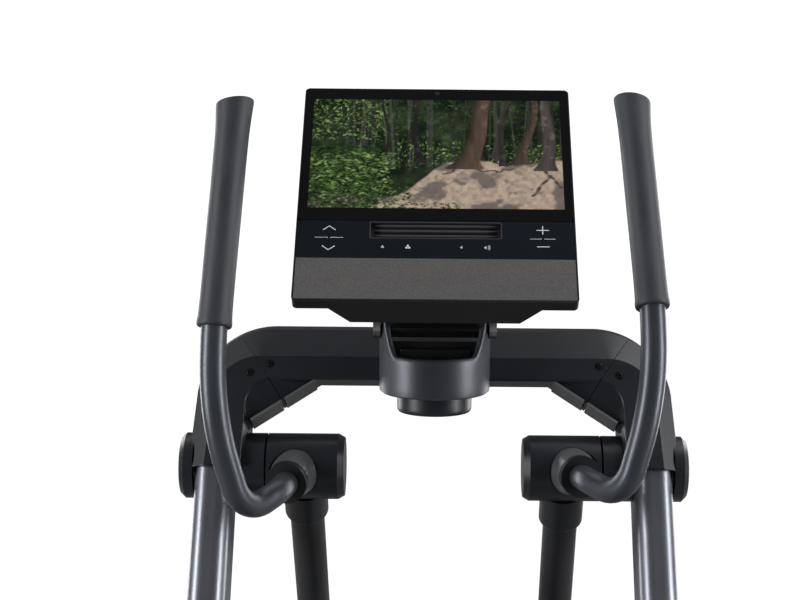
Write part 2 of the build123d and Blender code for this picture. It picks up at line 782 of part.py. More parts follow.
with BuildPart() as tilt_pin:
    disc(across(1, -71, HUB_Y + HINGE_Y, HUB_Z + HINGE_Z), 8, 142)
    for side in (-1, 1):
        disc(across(side, 69.3, HUB_Y + HINGE_Y, HUB_Z + HINGE_Z), 21, 9)
save(tilt_pin.part, "tilt_pin")

with BuildPart() as tilt_bracket:
    disc(across(1, -58, HUB_Y + HINGE_Y, HUB_Z + HINGE_Z), 20, 116)
    with BuildSketch(Plane(origin=(-58, HUB_Y, HUB_Z), x_dir=(0, 1, 0), z_dir=(1, 0, 0))):
        with BuildLine():
            Polyline(
                (-14, 182),
                (-128, 232),
                (-40, 324),
                (24, 194),
                close=True,
            )
        make_face()
    extrude(amount=116)
    with BuildSketch(PANEL.offset(-44.1)):
        with Locations((0, -60)):
            Rectangle(600, 600)
    extrude(amount=120, mode=Mode.SUBTRACT)
    drill(across(1, -80, HUB_Y + HINGE_Y, HUB_Z + HINGE_Z), 8.05, 160)
save(tilt_bracket.part, "tilt_bracket")
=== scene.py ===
"""Looks of the elliptical trainer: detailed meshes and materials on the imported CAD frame.

Everything is in metres in the row frame: +Z up, the user at -Y facing +Y.
"""
import json
from math import atan2, cos, hypot, pi, radians, sin, sqrt

import bmesh
import bpy
import numpy as np
from mathutils import Matrix, Vector


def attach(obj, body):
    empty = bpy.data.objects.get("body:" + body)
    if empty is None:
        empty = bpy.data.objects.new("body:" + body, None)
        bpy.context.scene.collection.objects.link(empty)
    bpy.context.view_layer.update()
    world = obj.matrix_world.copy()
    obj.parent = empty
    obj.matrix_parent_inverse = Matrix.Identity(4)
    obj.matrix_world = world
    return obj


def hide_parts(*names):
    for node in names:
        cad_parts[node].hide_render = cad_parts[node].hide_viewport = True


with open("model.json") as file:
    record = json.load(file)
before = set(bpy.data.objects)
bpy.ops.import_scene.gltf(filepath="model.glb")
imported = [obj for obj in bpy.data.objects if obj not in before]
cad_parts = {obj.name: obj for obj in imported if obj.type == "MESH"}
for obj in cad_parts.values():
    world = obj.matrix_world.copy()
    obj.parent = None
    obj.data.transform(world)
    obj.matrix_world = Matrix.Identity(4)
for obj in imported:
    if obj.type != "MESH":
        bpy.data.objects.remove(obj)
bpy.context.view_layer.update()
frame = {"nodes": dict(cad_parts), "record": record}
NODES = frame["nodes"]
MM = 0.001
SIDES = (("left", -1), ("right", 1))

# ---------------------------------------------------------------- places shared with the CAD
# Millimetres and degrees, as in the part's source.
HUB_Y = 40.0                 # swing axis
HUB_Z = 1365.0
REST_SWING = 4.2             # turn of each arm at rest
LEAN = radians(29.5)
SCREEN_LEAN = radians(42.0)
SCREEN_Y = HUB_Y - 33.0
SCREEN_Z = HUB_Z + 403.6


class Place:
    """A tilted working frame: across, up its face and out of it, in millimetres."""

    def __init__(self, y, z, lean):
        self.y = y
        self.z = z
        self.up = (sin(lean), cos(lean))
        self.out = (-cos(lean), sin(lean))

    def at(self, x, u, n=0.0):
        """Point in metres from distances across, up and out."""
        y = self.y + u * self.up[0] + n * self.out[0]
        z = self.z + u * self.up[1] + n * self.out[1]
        return Vector((x * MM, y * MM, z * MM))


ARCH = Place(HUB_Y, HUB_Z, LEAN)
PANEL = Place(SCREEN_Y, SCREEN_Z, SCREEN_LEAN)

# ---------------------------------------------------------------- camera
FOCAL_PIXELS = 1600.0        # focal length in widths of one image point
FRAME_WIDTH = 800.0
SENSOR = 36.0
CAMERA_PITCH = radians(7.0)
CAMERA_ROLL = radians(0.5)
CENTRE_SHIFT = 35.2
CAMERA_Y = -1.97745          # metres
CAMERA_Z = 1.82933


def add_camera():
    """Camera in front of the machine, a little above the console."""
    data = bpy.data.cameras.new("camera")
    data.sensor_width = SENSOR
    data.lens = FOCAL_PIXELS / FRAME_WIDTH * SENSOR
    data.shift_x = -CENTRE_SHIFT / FRAME_WIDTH
    camera = bpy.data.objects.new("camera", data)
    bpy.context.scene.collection.objects.link(camera)
    forward = Vector((0, cos(CAMERA_PITCH), -sin(CAMERA_PITCH)))
    plain_up = Vector((0, sin(CAMERA_PITCH), cos(CAMERA_PITCH)))
    plain_right = Vector((1, 0, 0))
    up = plain_up * cos(CAMERA_ROLL) - plain_right * sin(CAMERA_ROLL)
    right = forward.cross(up)
    turn = Matrix((right, up, -forward)).transposed()
    camera.matrix_world = Matrix.Translation((0, CAMERA_Y, CAMERA_Z)) @ turn.to_4x4()
    bpy.context.scene.camera = camera


add_camera()


# ---------------------------------------------------------------- materials
class Nodes:
    """Short way to add and join shader nodes."""

    def __init__(self, material):
        material.use_nodes = True
        self.tree = material.node_tree
        self.shader = self.tree.nodes["Principled BSDF"]

    def add(self, kind, values=(), **settings):
        node = self.tree.nodes.new(kind)
        for key, value in settings.items():
            setattr(node, key, value)
        for key, value in values:
            node.inputs[key].default_value = value
        return node

    def join(self, source, target):
        self.tree.links.new(source, target)

    def shade(self, **values):
        for key, value in values.items():
            self.shader.inputs[key.replace("_", " ")].default_value = value

    def coordinates(self, stretch=(1, 1, 1)):
        """Object coordinates, stretched along each axis."""
        source = self.add("ShaderNodeTexCoord")
        mapping = self.add("ShaderNodeMapping", [("Scale", stretch)])
        self.join(source.outputs["Object"], mapping.inputs["Vector"])
        return mapping.outputs["Vector"]

    def noise(self, where, scale, detail=4.0, rough=0.55):
        node = self.add(
            "ShaderNodeTexNoise",
            [("Scale", scale), ("Detail", detail), ("Roughness", rough)],
        )
        self.join(where, node.inputs["Vector"])
        return node.outputs["Fac"]

    def ramp(self, source, stops):
        node = self.add("ShaderNodeValToRGB")
        band = node.color_ramp
        while len(band.elements) < len(stops):
            band.elements.new(0.5)
        for element, (place, colour) in zip(band.elements, stops):
            element.position = place
            element.color = (*colour, 1.0)
        self.join(source, node.inputs["Fac"])
        return node.outputs["Color"]

    def span(self, source, low, high):
        node = self.add(
            "ShaderNodeMapRange",
            [("From Min", 0.3), ("From Max", 0.7), ("To Min", low), ("To Max", high)],
        )
        self.join(source, node.inputs["Value"])
        return node.outputs["Result"]

    def bump(self, height, strength, distance, below=None):
        node = self.add("ShaderNodeBump", [("Strength", strength), ("Distance", distance)])
        self.join(height, node.inputs["Height"])
        if below is not None:
            self.join(below, node.inputs["Normal"])
        return node.outputs["Normal"]


def scaled(colour, factor):
    """Colour made darker or lighter, never over white."""
    return tuple(min(1.0, c * factor) for c in colour)


def surface(name, colour, rough, metal=0.0, grain=1400.0, depth=0.04, vary=0.12, **extra):
    """Even finish with fine grain, faint clouding and handling marks."""
    material = bpy.data.materials.new(name)
    n = Nodes(material)
    where = n.coordinates()
    cloud = n.noise(where, 9.0, 5.0)
    marks = n.noise(n.coordinates((1, 1, 0.25)), 60.0, 6.0, 0.7)
    fine = n.noise(where, grain, 2.0)
    n.join(
        n.ramp(cloud, [(0.3, scaled(colour, 1 - vary)), (0.7, scaled(colour, 1 + vary))]),
        n.shader.inputs["Base Color"],
    )
    n.join(n.span(marks, max(0.05, rough - 0.025), rough + 0.025), n.shader.inputs["Roughness"])
    n.join(n.bump(fine, depth, 0.0004), n.shader.inputs["Normal"])
    n.shade(Metallic=metal, **extra)
    return material


def woven(name, colour, pitch=0.0011):
    """Speaker cloth: two crossing threads with fibre noise."""
    material = bpy.data.materials.new(name)
    n = Nodes(material)
    where = n.coordinates()
    threads = []
    for axis in ("X", "Z"):
        wave = n.add(
            "ShaderNodeTexWave",
            [("Scale", 1.0 / pitch / 3.2), ("Distortion", 1.2), ("Detail", 1.0)],
            bands_direction=axis,
        )
        n.join(where, wave.inputs["Vector"])
        threads.append(wave.outputs["Fac"])
    crossed = n.add("ShaderNodeMath", operation="MULTIPLY")
    n.join(threads[0], crossed.inputs[0])
    n.join(threads[1], crossed.inputs[1])
    speckle = n.noise(where, 420.0, 4.0, 0.85)
    mixed = n.add("ShaderNodeMath", operation="ADD")
    n.join(crossed.outputs[0], mixed.inputs[0])
    n.join(speckle, mixed.inputs[1])
    n.join(
        n.ramp(mixed.outputs[0], [(0.42, scaled(colour, 0.3)), (0.9, scaled(colour, 1.75))]),
        n.shader.inputs["Base Color"],
    )
    n.join(n.bump(mixed.outputs[0], 0.5, 0.0005), n.shader.inputs["Normal"])
    n.shade(Roughness=0.85, Sheen_Weight=0.2)
    return material


def moulded_rubber(name, colour, cell=900.0, depth=0.35):
    """Rubber with a pebbled moulded texture."""
    material = bpy.data.materials.new(name)
    n = Nodes(material)
    where = n.coordinates()
    cells = n.add("ShaderNodeTexVoronoi", [("Scale", cell)])
    n.join(where, cells.inputs["Vector"])
    cloud = n.noise(where, 14.0, 5.0)
    n.join(
        n.ramp(cloud, [(0.3, scaled(colour, 0.85)), (0.7, scaled(colour, 1.15))]),
        n.shader.inputs["Base Color"],
    )
    n.join(n.span(cloud, 0.5, 0.62), n.shader.inputs["Roughness"])
    n.join(n.bump(cells.outputs["Distance"], depth, 0.0004), n.shader.inputs["Normal"])
    n.shade(Specular_IOR_Level=0.45)
    return material


def machined(name, colour, rough):
    """Turned metal with fine rings of tool marks about X."""
    material = bpy.data.materials.new(name)
    n = Nodes(material)
    where = n.coordinates()
    streak = n.noise(n.coordinates((40, 1, 1)), 60.0, 4.0)
    cloud = n.noise(where, 25.0, 4.0)
    n.join(
        n.ramp(cloud, [(0.3, scaled(colour, 0.8)), (0.7, scaled(colour, 1.1))]),
        n.shader.inputs["Base Color"],
    )
    n.join(n.span(streak, rough - 0.08, rough + 0.1), n.shader.inputs["Roughness"])
    n.join(n.bump(streak, 0.08, 0.0003), n.shader.inputs["Normal"])
    n.shade(Metallic=1.0)
    return material


LOOKS = {
    "satin_graphite_tube": surface("satin_graphite", (0.20, 0.21, 0.235), 0.36, 0.8),
    "charcoal_plastic": surface(
        "charcoal_plastic", (0.012, 0.014, 0.019), 0.38, 0.0, 2200.0, 0.10
    ),
    "satin_socket_metal": surface("socket_metal", (0.19, 0.197, 0.21), 0.36, 0.7),
    "black_plastic": surface("black_plastic", (0.004, 0.0045, 0.0055), 0.4, 0.0, 2000.0, 0.08),
    "handle_tube_paint": surface("handle_paint", (0.065, 0.072, 0.085), 0.36, 0.5),
    "grip_rubber": moulded_rubber("grip_rubber", (0.036, 0.041, 0.05)),
    "leg_paint": surface("leg_paint", (0.018, 0.019, 0.022), 0.42, 0.2),
    "pad_foam": moulded_rubber("pad_foam", (0.035, 0.036, 0.04), 500.0, 0.5),
    "wheel_rubber": moulded_rubber("wheel_rubber", (0.02, 0.02, 0.021), 600.0, 0.3),
    "frame_paint": surface("frame_paint", (0.05, 0.053, 0.06), 0.4, 0.4),
    "grey_pad_plastic": surface("under_pad_plastic", (0.095, 0.097, 0.101), 0.5),
    "zinc_steel": machined("zinc_steel", (0.5, 0.5, 0.5), 0.3),
    "foot_rubber": moulded_rubber("foot_rubber", (0.015, 0.015, 0.016), 700.0, 0.3),
    "flywheel_iron": machined("flywheel_iron", (0.22, 0.22, 0.23), 0.38),
    "screen_glass": surface("bezel_glass", (0.004, 0.004, 0.005), 0.10, 0.0, 300.0, 0.0),
    "gloss_black": surface("control_gloss", (0.006, 0.009, 0.013), 0.18, 0.0, 500.0, 0.01),
    "speaker_fabric": woven("speaker_cloth", (0.078, 0.074, 0.073)),
    "board_green": surface("board_resist", (0.02, 0.12, 0.05), 0.4),
    "neck_paint": surface("neck_paint", (0.085, 0.09, 0.102), 0.43, 0.6),
}
SLOTS = {entry["node"]: entry["material_slot"] for entry in frame["record"]["subparts"]}


def finish_mesh(obj, width=0.0, angle=35.0):
    """Smooth shading split at hard edges, with an optional small bevel."""
    mesh = obj.data
    mesh.polygons.foreach_set("use_smooth", [True] * len(mesh.polygons))
    mesh.set_sharp_from_angle(angle=radians(angle))
    if width:
        bevel = obj.modifiers.new("edges", "BEVEL")
        bevel.width = width
        bevel.segments = 2
        bevel.limit_method = "ANGLE"
        bevel.angle_limit = radians(angle)
        bevel.harden_normals = True


NO_BEVEL = {"drive_belt", "console_board", "hub_bearings", "power_inlet"}
DEEP_BEVEL = ("hub_cover", "hub_collars", "pivot_caps")
for node_name, node in NODES.items():
    node.data.materials.clear()
    node.data.materials.append(LOOKS[SLOTS[node_name]])
    edge_width = 0.0014 if node_name.startswith(DEEP_BEVEL) else 0.0008
    finish_mesh(node, 0.0 if node_name in NO_BEVEL else edge_width)


# ---------------------------------------------------------------- mesh helpers
def new_piece(name, verts, faces, slot, body, replaces=(), material=None):
    """Make an object from points and faces, give it a finish and put it on its body."""
    mesh = bpy.data.meshes.new(name)
    mesh.from_pydata([tuple(v) for v in verts], [], faces)
    mesh.validate()
    mesh.update()
    obj = bpy.data.objects.new(name, mesh)
    bpy.context.scene.collection.objects.link(obj)
    mesh.materials.append(material or LOOKS[slot])
    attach(obj, body)
    if replaces:
        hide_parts(*replaces)
    return obj


def loft(rings):
    """Closed skin through equal rings of points, capped at both ends."""
    verts = [point for ring in rings for point in ring]
    count = len(rings[0])
    faces = []
    for i in range(len(rings) - 1):
        for j in range(count):
            k = (j + 1) % count
            a = i * count
            faces.append((a + j, a + k, a + count + k, a + count + j))
    last = (len(rings) - 1) * count
    faces.append(tuple(reversed(range(count))))
    faces.append(tuple(last + j for j in range(count)))
    return verts, faces


def merge(*parts):
    """Several point and face lists as one."""
    verts = []
    faces = []
    for part_verts, part_faces in parts:
        start = len(verts)
        verts += list(part_verts)
        faces += [tuple(start + i for i in face) for face in part_faces]
    return verts, faces


def face_outwards(obj):
    """Turn every face's normal outwards."""

    bm = bmesh.new()
    bm.from_mesh(obj.data)
    bmesh.ops.recalc_face_normals(bm, faces=bm.faces)
    bm.to_mesh(obj.data)
    bm.free()


def prism(place, outline, low, high):
    """Flat outline in a place's plane, drawn out from low to high."""
    return loft([[place.at(x, u, n) for x, u in outline] for n in (low, high)])


# ---------------------------------------------------------------- arch covers
ARCH_W = 308.0
COLUMN = 240.0               # inner edge of a sleeve
BACK = 8.0                   # rear and front faces, out of the arch plane
FRONT = 50.0
LOW = -14.0                  # lower end of a sleeve
FLARE_IN = 2.0               # spread of that end, at its inner and outer edges
FLARE_OUT = 5.5
EDGE_SPLIT = 250.0           # edges nearer the middle than this are inner ones
COLUMN_STEPS = 5
COLUMN_STEP = 12
TURN_STEPS = 12
BACK_STEPS = 14
BRIDGE_STEPS = 8
COVER_EDGE = 0.0014          # bevel in metres
FACET_ANGLE = 14.0           # shallowest fold that stays sharp, in degrees


def arc(cx, cu, radius, share):
    """Point a share of the way round a quarter turn from the column to the bridge."""
    angle = share * pi / 2
    return -cx - radius * cos(angle), cu + radius * sin(angle)


# Centre across, centre up and radius of each lengthwise edge's quarter turn, outermost first.
CORNERS = (
    (208.0, 90.0, 100.0),
    (209.0, 78.5, 96.0),
    (224.0, 72.0, 60.0),
    (206.0, 67.0, 36.5),
    (206.0, 65.5, 35.0),
)
DEPTHS = (BACK, 36.0, FRONT, FRONT, 48.6)      # of those edges, out of the arch plane
GUSSET = ((240.0, 44.0), (148.0, 107.0))       # straight underside, column to bridge
SEAM = ((188.0, 64.0), (275.0, 200.0))         # line of the diagonal corner seam


def rail(index, share):
    """Point on one lengthwise edge of the cover's corner; share runs 0 to 1 round the turn."""
    if index < len(CORNERS):
        return arc(*CORNERS[index], share)
    (x0, u0), (x1, u1) = GUSSET
    return -(x0 + (x1 - x0) * share), u0 + (u1 - u0) * share


HALVINGS = 40                # steps of the search for the seam


def seam_share(index):
    """Where a lengthwise edge crosses the corner seam."""
    (x0, u0), (x1, u1) = SEAM
    low = 0.0
    high = 1.0
    for _ in range(HALVINGS):
        middle = (low + high) / 2
        x, u = rail(index, middle)
        on_seam = -(x0 + (x1 - x0) * (u - u0) / (u1 - u0))
        low, high = (middle, high) if x < on_seam else (low, middle)
    return (low + high) / 2


RAILS = 7                    # the corner's edges, then the underside's front and rear ones
RAIL_DEPTHS = DEPTHS + (40.0, BACK)
GUSSET_RAIL = len(CORNERS)
SEAM_AT = [seam_share(min(i, GUSSET_RAIL)) for i in range(RAILS)]
# How much of the seam's opening each edge takes.
SEAM_GAP = (0.0, 0.0, 0.25, 0.45, 0.45, 0.5, 0.5)


def arch_ring(share_of_part, part, side):
    """One ring across the cover: part 0 is column to seam, part 1 is seam to bridge."""
    ring = []
    for i in range(RAILS):
        if part == 0:
            share = SEAM_AT[i] * share_of_part
        else:
            share = SEAM_AT[i] + (1 - SEAM_AT[i]) * share_of_part
        x, u = rail(min(i, GUSSET_RAIL), share)
        ring.append((side * -x, u, RAIL_DEPTHS[i]))
    return ring


def column_ring(u, side):
    """One ring across the column below the corner."""
    start = arch_ring(0.0, 0, side)
    ring = []
    for x, ring_u, n in start:
        blend = (u - LOW) / (ring_u - LOW)
        flare = (FLARE_IN if abs(x) < EDGE_SPLIT else FLARE_OUT) * (1 - blend)
        ring.append((x + side * flare, u, n))
    return ring


def to_world(place, ring):
    """Ring of points in metres."""
    return [place.at(*point) for point in ring]


def push(ring, distance, side):
    """Open the seam by moving a ring along the bridge."""
    return [(x + side * distance * gap, u, n) for (x, u, n), gap in zip(ring, SEAM_GAP)]


def sleeve_shell(name, side):
    """Cover that turns the arch's corner, with a flat block behind its shaped front."""
    rings = [column_ring(LOW + COLUMN_STEP * i, side) for i in range(COLUMN_STEPS)]
    rings += [arch_ring(i / TURN_STEPS, 0, side) for i in range(TURN_STEPS + 1)]
    rings[-1] = push(rings[-1], 1.0, side)
    front_skin = loft([to_world(ARCH, ring) for ring in rings])
    outline = [(side * (COLUMN + 2), LOW), (side * (ARCH_W + FLARE_OUT), LOW)]
    turn = [arc(*CORNERS[0], i / BACK_STEPS) for i in range(BACK_STEPS + 1)]
    outline += [(side * -x, u) for x, u in turn]
    outline = [(x, u) for x, u in outline if abs(x) >= COLUMN]
    cx, cu, radius = CORNERS[0]
    outline.append((side * COLUMN, cu + sqrt(radius**2 - (COLUMN - cx) ** 2)))
    back_skin = prism(ARCH, outline, -FRONT, BACK - 0.05)
    verts, faces = merge(front_skin, back_skin)
    sleeve = new_piece(
        "sleeve_shell_" + name, verts, faces, "charcoal_plastic", "frame", ("sleeve_" + name,)
    )
    face_outwards(sleeve)
    finish_mesh(sleeve, COVER_EDGE, FACET_ANGLE)


def bridge_shell():
    """Cover between the two corner seams."""
    rings = []
    for side in (-1, 1):
        half = [arch_ring(i / BRIDGE_STEPS, 1, side) for i in range(BRIDGE_STEPS + 1)]
        half[0] = push(half[0], -1.0, side)
        if side == 1:
            half.reverse()
        rings += half
    verts, faces = loft([to_world(ARCH, ring) for ring in rings])
    bridge = new_piece(
        "bridge_shell",
        verts,
        faces,
        "charcoal_plastic",
        "frame",
        ("bridge_cover_front", "bridge_cover_rear"),
    )
    face_outwards(bridge)
    finish_mesh(bridge, COVER_EDGE, FACET_ANGLE)


for name, side in SIDES:
    sleeve_shell(name, side)
bridge_shell()

# Outer and inner outline of one half, from its foot to the bridge and back.
SPINE_HALF = ((296.5, 59.3), (296.5, 75.0), (218.5, 153.0))
SPINE_INNER = ((216.5, 116.0), (260.5, 72.0), (260.5, 59.3))
SPINE_REAR = 12.0
SPINE_FRONT = 39.0


def arch_spine():
    """Steel frame inside the covers."""
    outline = [(-x, u) for x, u in SPINE_HALF]
    outline += [(x, u) for x, u in reversed(SPINE_HALF)]
    outline += [(x, u) for x, u in reversed(SPINE_INNER)]
    outline += [(-x, u) for x, u in SPINE_INNER]
    verts, faces = prism(ARCH, outline, SPINE_REAR, SPINE_FRONT)
    spine = new_piece("arch_spine", verts, faces, "frame_paint", "frame", ("bridge_frame",))
    face_outwards(spine)
    finish_mesh(spine, 0.003)


arch_spine()

SCREW_SPOTS = ((-237.5, 109.4), (-212.0, 121.3), (212.0, 121.3), (237.5, 109.4))
# Radius and distance out of the arch plane, from the collar in to the head.
SCREW_RINGS = (
    (5.6, 49.0),
    (5.6, 50.25),
    (5.0, 50.35),
    (4.5, 49.9),
    (3.9, 50.9),
    (3.2, 51.2),
    (1.9, 51.2),
)
SOCKET_RINGS = ((1.9, 51.2), (1.7, 50.2))
SOCKET_REACH = 2.0           # rings smaller than this are six-sided
SCREW_SIDES = 24


def screw(x, u):
    """Button screw in a shallow collar, with a six-sided socket."""
    rings = []
    for radius, n in SCREW_RINGS + SOCKET_RINGS:
        ring = []
        for i in range(SCREW_SIDES):
            angle = 2 * pi * i / SCREW_SIDES
            reach = radius
            if radius < SOCKET_REACH:
                reach = radius / cos((angle + pi / 6) % (pi / 3) - pi / 6)
            ring.append(ARCH.at(x + reach * cos(angle), u + reach * sin(angle), n))
        rings.append(ring)
    return loft(rings)


verts, faces = merge(*[screw(x, u) for x, u in SCREW_SPOTS])
blackened = surface("blackened_screw", (0.03, 0.03, 0.032), 0.3, 0.8)
screws = new_piece(
    "button_screws", verts, faces, "zinc_steel", "frame", ("cover_screws",), blackened
)
face_outwards(screws)
finish_mesh(screws, 0.0, 30.0)


# ---------------------------------------------------------------- console neck
NECK_Y = HUB_Y + 15          # centre of the half round
NECK_R = 71.0
NECK_INNER_R = 63.0
NECK_FLOOR = 128
NECK_SIDES = 48
RIM = 148.0                  # height above the swing axis
CHEEK_FROM = 50              # the rim starts to rise this far from the middle
CHEEK_RUN = 16.0
CHEEK_RISE = 52.0
LIP = 4                      # height of the rounded lip
OUTER_STEPS = 7
INNER_STEPS = 6
# Radius and height up the rounded foot, then radius and drop below the rim over the lip.
NECK_FOOT = ((60, 96), (67, 96.4), (70.4, 99), (71, 104))
LIP_OUTSIDE = ((70.2, 1.6), (68.2, 0.2))
LIP_INSIDE = ((66.0, 0.0), (64.2, 1.2), (63.4, LIP))


def neck_rim(angle):
    """Height of the bucket's rim at an angle from the front."""
    across = NECK_R * abs(sin(angle))
    if across < CHEEK_FROM:
        return RIM
    rise = min(1.0, (across - CHEEK_FROM) / CHEEK_RUN)
    return RIM + CHEEK_RISE * rise**1.7


def neck_shell():
    """Half-round bucket under the console with cheeks that rise to the hinge."""
    foot_top = NECK_FOOT[-1][1]
    outer = []
    inner = []
    for i in range(NECK_SIDES + 1):
        angle = -pi / 2 + pi * i / NECK_SIDES
        rim = neck_rim(angle)
        wall = rim - LIP - foot_top
        well = rim - LIP - NECK_FLOOR
        x = sin(angle)
        y = -cos(angle)
        outside = list(NECK_FOOT)
        outside += [(NECK_R, foot_top + wall * (k + 1) / OUTER_STEPS) for k in range(OUTER_STEPS)]
        outside += [(radius, rim - drop) for radius, drop in LIP_OUTSIDE]
        inside = [(radius, rim - drop) for radius, drop in LIP_INSIDE]
        for k in range(INNER_STEPS):
            inside.append((NECK_INNER_R, rim - LIP - well * (k + 1) / INNER_STEPS))
        inside.append((30.0, NECK_FLOOR - 1.0))
        outer.append([(x, y, radius, z) for radius, z in outside])
        inner.append([(x, y, radius, z) for radius, z in inside])
    verts = []
    columns = []
    for out_column, in_column in zip(outer, inner):
        column = []
        for x, y, r, z in out_column + in_column:
            column.append(len(verts))
            verts.append(Vector((x * r * MM, (NECK_Y + y * r) * MM, (HUB_Z + z) * MM)))
        columns.append(column)
    faces = []
    for a, b in zip(columns, columns[1:]):
        for k in range(len(a) - 1):
            faces.append((a[k], b[k], b[k + 1], a[k + 1]))
    faces.append(tuple(column[0] for column in columns))
    faces.append(tuple(reversed([column[-1] for column in columns])))
    faces.append(tuple(columns[0]))
    faces.append(tuple(reversed(columns[-1])))
    return verts, faces


def box_in_row(x0, x1, y0, y1, z0, z1):
    """Block lined up with the row frame, measured from the swing axis."""
    rings = []
    for z in (z0, z1):
        corners = ((x0, y0), (x1, y0), (x1, y1), (x0, y1))
        rings.append([Vector((x * MM, (HUB_Y + y) * MM, (HUB_Z + z) * MM)) for x, y in corners])
    return loft(rings)


def turned(centre_y, profile, steps=64):
    """Solid of revolution about a vertical axis from (radius, height) points."""
    rings = []
    for radius, z in profile:
        ring = []
        for i in range(steps):
            angle = 2 * pi * i / steps
            x = radius * sin(angle)
            y = centre_y - radius * cos(angle)
            ring.append(Vector((x * MM, y * MM, (HUB_Z + z) * MM)))
        rings.append(ring)
    return loft(rings)


SPIGOT = ((42, 71), (46, 71.6), (47.7, 74), (48, 78), (48, 98), (46, 100))
PLATE_OUTLINE = ((-46, -16), (-46, 8), (-42, 12), (42, 12), (46, 8), (46, -16))
PLATE_Z = 145                # height of the plate's middle above the swing axis
PLATE_FACES = (-23, -13.5)


def neck_plate():
    """Raised plate across the inside of the neck."""
    rings = []
    for y in PLATE_FACES:
        ring = []
        for x, z in PLATE_OUTLINE:
            ring.append(Vector((x * MM, (HUB_Y + y) * MM, (HUB_Z + PLATE_Z + z) * MM)))
        rings.append(ring)
    return loft(rings)


def add_neck():
    """Bucket, plate, liner behind the plate and the round spigot below."""
    liner = box_in_row(-63, 63, -10.5, -9, 122, 165)
    for name, mesh, slot, nodes, width, angle in (
        ("neck_bucket", neck_shell(), "neck_paint", ("console_neck",), 0.0, 40.0),
        ("neck_plate", neck_plate(), "black_plastic", (), 0.002, 35.0),
        ("neck_liner", liner, "black_plastic", (), 0.0003, 35.0),
        ("neck_spigot", turned(NECK_Y, SPIGOT), "charcoal_plastic", (), 0.0, 40.0),
    ):
        piece = new_piece(name, *mesh, slot, "frame", nodes)
        face_outwards(piece)
        finish_mesh(piece, width, angle)


add_neck()


# ---------------------------------------------------------------- grips
def turn_about_hub(offset, swing):
    """Offset from the swing axis after the arm turns, in metres in the row frame."""
    x, y, z = offset
    turn = radians(swing)
    return Vector(
        (
            x * MM,
            (HUB_Y + y * cos(turn) - z * sin(turn)) * MM,
            (HUB_Z + y * sin(turn) + z * cos(turn)) * MM,
        )
    )


# Ends of the sleeve's middle line before the arm turns, from the swing axis.
GRIP_LOW = (257.2, -159.0, 214.0)
GRIP_TOP = (243.0, -44.0, 466.0)
# Distance from the lower end, half width and half thickness.
GRIP_PROFILE = (
    (2.0, 16.5, 16.5),
    (2.0, 19.6, 19.6),
    (4.0, 21.0, 21.0),
    (9.0, 21.0, 21.0),
    (13.0, 19.8, 19.8),
    (60.0, 19.6, 20.2),
    (130.0, 20.0, 21.5),
    (200.0, 20.0, 21.5),
    (246.0, 20.4, 21.0),
    (264.0, 21.8, 21.6),
    (276.0, 22.6, 22.2),
    (278.5, 22.7, 22.3),
)

GRIP_SIDES = 40
SLANT_FROM = 240             # the end is cut at a slant beyond this distance
SLANT_RUN = 42
SLANT = 0.22
# Share of the last ring's size, and rise above it, over the rounded end.
GRIP_END = ((0.975, 0.9), (0.93, 1.3), (0.90, 1.35), (0.5, 1.4), (0.1, 1.4))


def grip_sleeve(name, side):
    """Rubber sleeve with a collar at its lower end and a slanted top."""
    swing = REST_SWING * -side
    low = turn_about_hub((side * GRIP_LOW[0], GRIP_LOW[1], GRIP_LOW[2]), swing)
    top = turn_about_hub((side * GRIP_TOP[0], GRIP_TOP[1], GRIP_TOP[2]), swing)
    way = (top - low).normalized()
    across = Vector((1, 0, 0))
    across = (across - way * across.dot(way)).normalized()
    deep = way.cross(across)
    rings = []
    for along, wide, thick in GRIP_PROFILE:
        ring = []
        for i in range(GRIP_SIDES):
            angle = 2 * pi * i / GRIP_SIDES
            tilt = 0.0
            if along > SLANT_FROM:
                tilt = SLANT * wide * cos(angle) * -side * (along - SLANT_FROM) / SLANT_RUN
            point = low + way * ((along + tilt) * MM)
            point += across * (wide * cos(angle) * MM) + deep * (thick * sin(angle) * MM)
            ring.append(point)
        rings.append(ring)
    last = rings[-1]
    middle = sum(last, Vector()) / GRIP_SIDES
    for shrink, rise in GRIP_END:
        rings.append([middle + (p - middle) * shrink + way * (rise * MM) for p in last])
    verts, faces = loft(rings)
    grip = new_piece(
        "grip_sleeve_" + name, verts, faces, "grip_rubber", "swing_arm_" + name, ("grip_" + name,)
    )
    face_outwards(grip)
    finish_mesh(grip, 0.0, 60.0)
    soften = grip.modifiers.new("soften", "SUBSURF")
    soften.levels = 1
    soften.render_levels = 1


for name, side in SIDES:
    grip_sleeve(name, side)


# ---------------------------------------------------------------- display picture
PICTURE_W = 480
PICTURE_H = 270
SCREEN_HALF_W = 155.0        # half of a 14 inch screen's picture
SCREEN_HALF_H = 87.2
SCREEN_FACE = 0.35           # picture's distance out of the panel plane
rng = np.random.default_rng(7)


def field(cells_x, cells_y):
    """Smooth random field over the picture, 0 to 1."""
    grid = rng.random((cells_y + 2, cells_x + 2))
    x = np.linspace(0, cells_x, PICTURE_W)
    y = np.linspace(0, cells_y, PICTURE_H)
    xi = x.astype(int)
    yi = y.astype(int)
    fx = (x - xi) ** 2 * (3 - 2 * (x - xi))
    fy = ((y - yi) ** 2 * (3 - 2 * (y - yi)))[:, None]
    a = grid[yi][:, xi] * (1 - fx) + grid[yi][:, xi + 1] * fx
    b = grid[yi + 1][:, xi] * (1 - fx) + grid[yi + 1][:, xi + 1] * fx
    return a * (1 - fy) + b * fy


def clouds(cells_x, cells_y, octaves=4):
    """Fractal field from several octaves."""
    total = np.zeros((PICTURE_H, PICTURE_W))
    weight = 0.0
    for k in range(octaves):
        total += field(cells_x * 2**k, cells_y * 2**k) * 0.55**k
        weight += 0.55**k
    return total / weight


